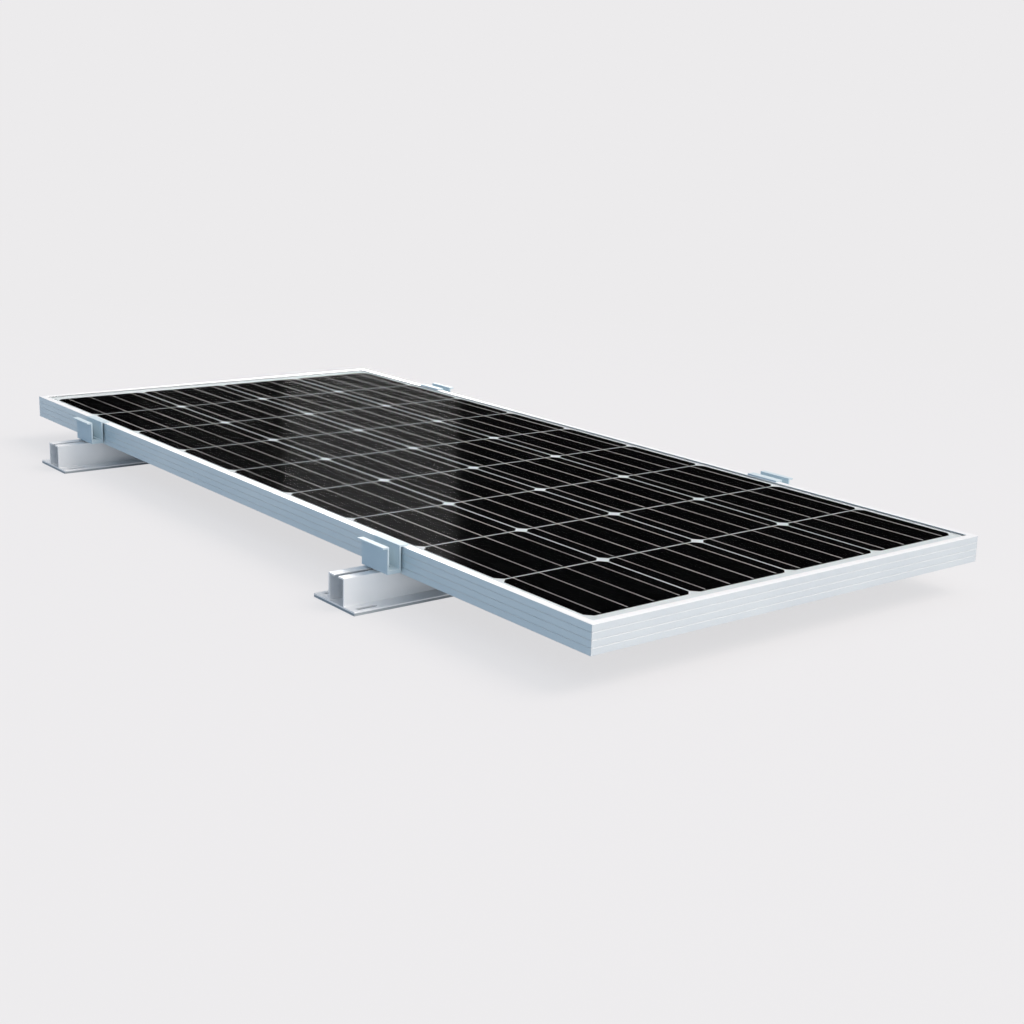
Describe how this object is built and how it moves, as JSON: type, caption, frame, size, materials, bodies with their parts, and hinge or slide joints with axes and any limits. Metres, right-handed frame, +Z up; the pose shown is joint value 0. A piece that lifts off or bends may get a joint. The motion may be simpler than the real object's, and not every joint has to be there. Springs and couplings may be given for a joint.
{
  "type": "solar panel with mounting rails",
  "caption": "Framed monocrystalline solar panel held by U clamps on slotted aluminium rails with flat fixing flanges.",
  "frame": {"origin": "on the ground under the middle of the panel", "axes": "+X along the panel's long side, +Y along the rails towards the far long side, +Z up out of the glass"},
  "size_m": [1.49, 0.81, 0.0783],
  "materials": {
    "anodised_frame": "clear anodised, fine lengthwise brushing",
    "cast_key": "plain cast aluminium",
    "sealant": "white silicone, matt",
    "panel_glass": "clear tempered solar glass, smooth",
    "encapsulant": "clear EVA film",
    "white_backsheet": "white polymer sheet, matt",
    "silicon_cell": "black monocrystalline silicon with an antireflective coat",
    "tinned_ribbon": "tin-coated flat copper ribbon",
    "black_plastic": "black moulded plastic, fine grain",
    "rail_aluminium": "mill-finish extruded aluminium, lengthwise die lines",
    "grey_rubber": "grey rubber strip, matt",
    "stainless_steel": "stainless steel, turned"
  },
  "bodies": {
    "root": {"frame_front_bar": "anodised_frame", "frame_rear_bar": "anodised_frame", "frame_left_bar": "anodised_frame", "frame_right_bar": "anodised_frame", "corner_key_front_left": "cast_key", "corner_key_front_right": "cast_key", "corner_key_rear_left": "cast_key", "corner_key_rear_right": "cast_key", "frame_sealant": "sealant", "glass": "panel_glass", "front_encapsulant": "encapsulant", "rear_encapsulant": "encapsulant", "backsheet": "white_backsheet", "cell_string_1": "silicon_cell", "ribbons_string_1": "tinned_ribbon", "cell_string_2": "silicon_cell", "ribbons_string_2": "tinned_ribbon", "cell_string_3": "silicon_cell", "ribbons_string_3": "tinned_ribbon", "cell_string_4": "silicon_cell", "ribbons_string_4": "tinned_ribbon", "junction_box_base": "black_plastic", "junction_box_lid": "black_plastic", "cable_gland_front": "black_plastic", "cable_gland_rear": "black_plastic", "rail_left": "rail_aluminium", "rail_pad_left": "grey_rubber", "rail_right": "rail_aluminium", "rail_pad_right": "grey_rubber", "clamp_front_left": "rail_aluminium", "clamp_front_right": "rail_aluminium", "clamp_rear_left": "rail_aluminium", "clamp_rear_right": "rail_aluminium", "clamp_bolts": "stainless_steel", "clamp_washers": "stainless_steel", "channel_nuts": "stainless_steel"}
  },
  "joints": []
}
